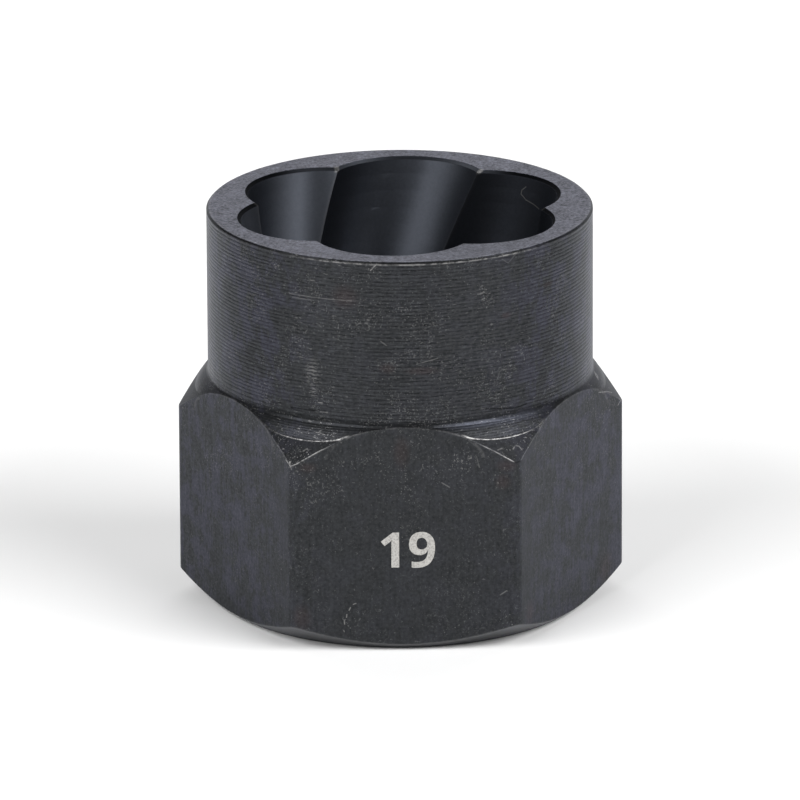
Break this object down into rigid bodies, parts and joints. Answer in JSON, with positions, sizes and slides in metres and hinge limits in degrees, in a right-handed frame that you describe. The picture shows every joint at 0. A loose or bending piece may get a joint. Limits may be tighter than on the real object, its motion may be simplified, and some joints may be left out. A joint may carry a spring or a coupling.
{
  "type": "screw extractor",
  "caption": "Short hexagon-bodied extractor socket with a round neck, a tapered bore with left-hand spiral flutes and a square drive.",
  "frame": {"origin": "centre of the base face, on the surface that the piece stands on", "axes": "+Z along the piece's axis from the square drive to the fluted mouth, +X through a corner of the hexagon, so one flat faces -Y"},
  "size_m": [0.0308, 0.027, 0.028],
  "materials": {
    "blackened_steel": "satin black oxide over forged and turned steel"
  },
  "bodies": {
    "root": {"extractor_body": "blackened_steel"}
  },
  "joints": []
}
